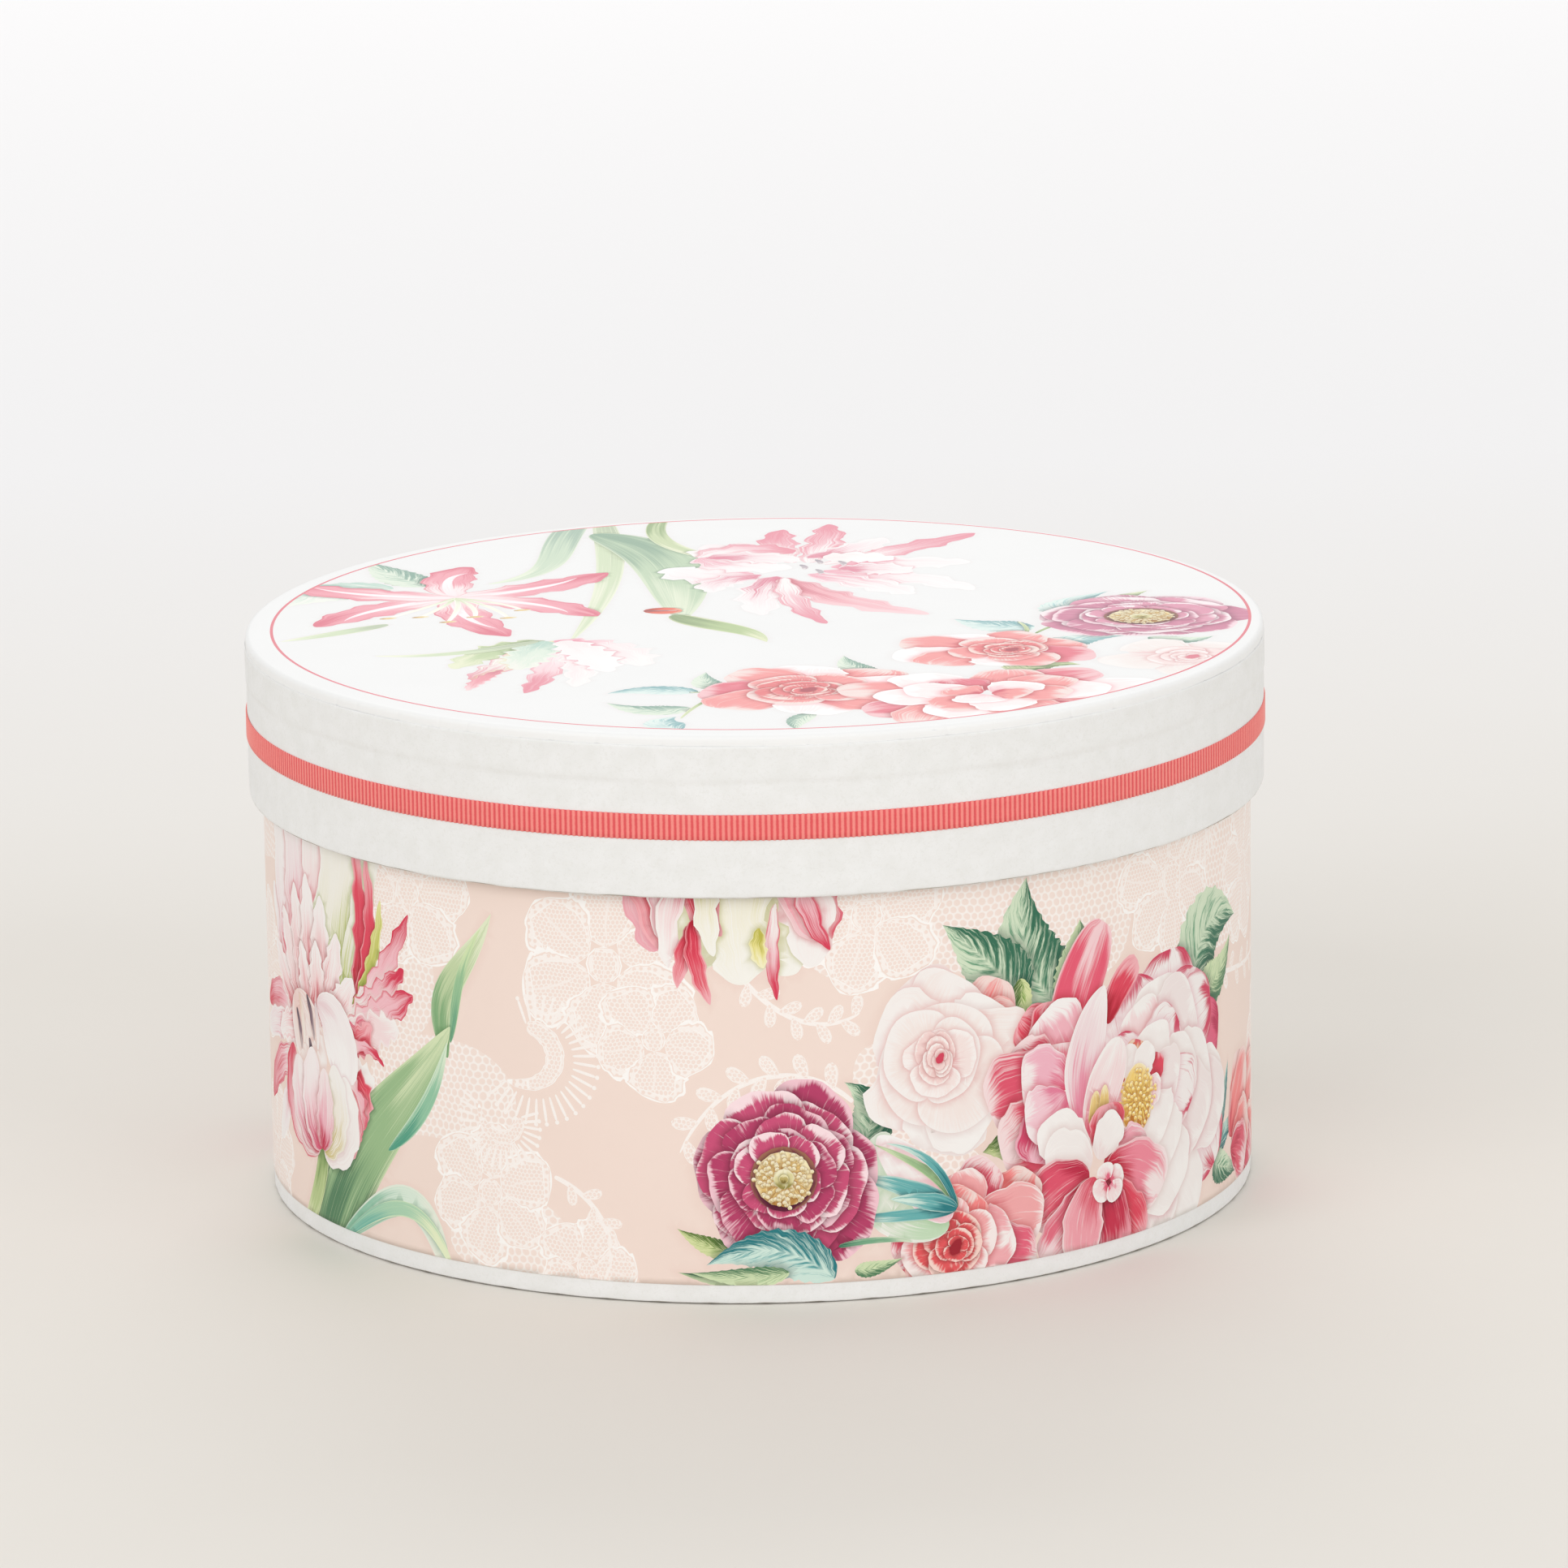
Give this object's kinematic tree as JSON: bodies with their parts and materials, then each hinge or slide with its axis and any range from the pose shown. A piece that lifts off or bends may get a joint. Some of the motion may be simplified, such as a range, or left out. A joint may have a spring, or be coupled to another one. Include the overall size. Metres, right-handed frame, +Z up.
{
  "type": "hat box",
  "caption": "Round paper-covered hat box: a printed greyboard tray and a lift-off lid with a deep plain rim and a ribbed ribbon.",
  "frame": {"origin": "centre of the underside, on the surface the box stands on", "axes": "+Z up along the box's round axis, the way the lid lifts; +Y to the back, where the glued joints are"},
  "size_m": [0.256, 0.256, 0.142],
  "materials": {
    "greyboard": "matte",
    "kraft_tape": "matte",
    "textured_paper": "matte",
    "printed_wall_paper": "matte",
    "printed_lid_paper": "matte",
    "lining_paper": "matte",
    "coral_ribbon": "matte"
  },
  "bodies": {
    "tray": {"wall_board": "greyboard", "base_board": "greyboard", "wall_joint_tape": "kraft_tape", "base_edge_band": "textured_paper", "base_cover_paper": "textured_paper", "wall_print_paper": "printed_wall_paper", "wall_lining_paper": "lining_paper", "base_lining_paper": "lining_paper"},
    "lid": {"lid_disc_board": "greyboard", "lid_rim_board": "greyboard", "lid_joint_tape": "kraft_tape", "lid_top_paper": "printed_lid_paper", "lid_rim_paper": "textured_paper", "lid_ribbon": "coral_ribbon", "lid_disc_lining": "lining_paper", "lid_rim_lining": "lining_paper"}
  },
  "joints": [
    {"name": "lid_lift", "type": "slide", "parent": "tray", "child": "lid", "axis": [0, 0, 1], "range_m": [0, 0.12]}
  ]
}
